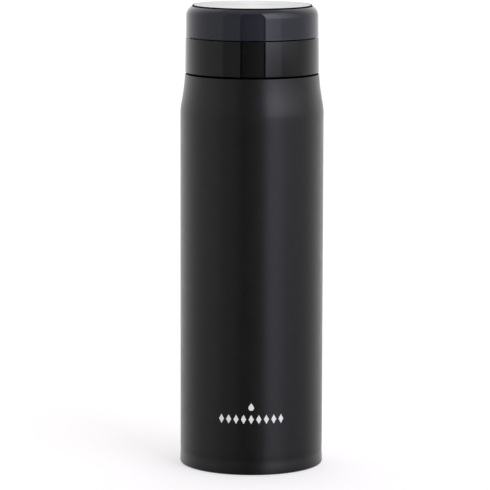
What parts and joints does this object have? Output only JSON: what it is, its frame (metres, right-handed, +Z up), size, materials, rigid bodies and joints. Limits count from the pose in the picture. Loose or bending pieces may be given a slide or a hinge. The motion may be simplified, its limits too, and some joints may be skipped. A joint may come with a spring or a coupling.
{
  "type": "vacuum flask",
  "caption": "Slim double-walled vacuum flask with a screw-on drinking collar, a screw cap with a sealing plug, and a flat metal disc set in the cap.",
  "frame": {"origin": "centre of the foot's underside, on the plane the flask stands on", "axes": "+Z up along the flask's axis; the printed emblem faces -Y"},
  "size_m": [0.0682, 0.0682, 0.2196],
  "materials": {
    "coated_steel": "matte black powder coat with a fine texture",
    "bare_steel": "satin, electropolished",
    "spun_steel": "spun brush, concentric",
    "slate_gloss": "high gloss dark slate",
    "black_gloss": "high gloss black",
    "matte_plastic": "fine satin moulding",
    "silicone": "matte translucent white",
    "foam": "open-cell foam",
    "copper_foil": "bright rolled copper foil",
    "getter_alloy": "sintered, dull",
    "solder_glass": "fused solder glass",
    "adhesive": "double-sided tape"
  },
  "bodies": {
    "flask": {"outer_shell": "coated_steel", "inner_liner": "bare_steel", "liner_bottom": "bare_steel", "base_cup": "coated_steel", "base_cover": "bare_steel", "vacuum_seal": "solder_glass", "getter_clip": "bare_steel", "getter_pellet": "getter_alloy", "radiation_foil": "copper_foil"},
    "collar_seal": {"collar_gasket": "silicone"},
    "collar": {"mouthpiece": "matte_plastic", "collar_ring": "black_gloss"},
    "cap_seal": {"cap_gasket": "silicone"},
    "cap": {"cap_liner": "matte_plastic", "cap_foam": "foam", "cap_shell": "slate_gloss", "disc_adhesive": "adhesive", "cap_disc": "spun_steel"}
  },
  "joints": [
    {"name": "collar_rise", "type": "slide", "parent": "flask", "child": "collar_seal", "axis": [0, 0, 1], "range_m": [0, 0.0121]},
    {"name": "collar_turn", "type": "hinge", "parent": "collar_seal", "child": "collar", "pos_m": [0, 0, 0.195], "axis": [0, 0, 1], "range_deg": [0, 540]},
    {"name": "cap_rise", "type": "slide", "parent": "collar", "child": "cap_seal", "axis": [0, 0, 1], "range_m": [0, 0.0121]},
    {"name": "cap_turn", "type": "hinge", "parent": "cap_seal", "child": "cap", "pos_m": [0, 0, 0.21], "axis": [0, 0, 1], "range_deg": [0, 540]}
  ],
  "couplings": [
    {"joint": "collar_rise", "follows": "collar_turn", "m_per_rad": 0.0012732},
    {"joint": "cap_rise", "follows": "cap_turn", "m_per_rad": 0.0012732}
  ]
}
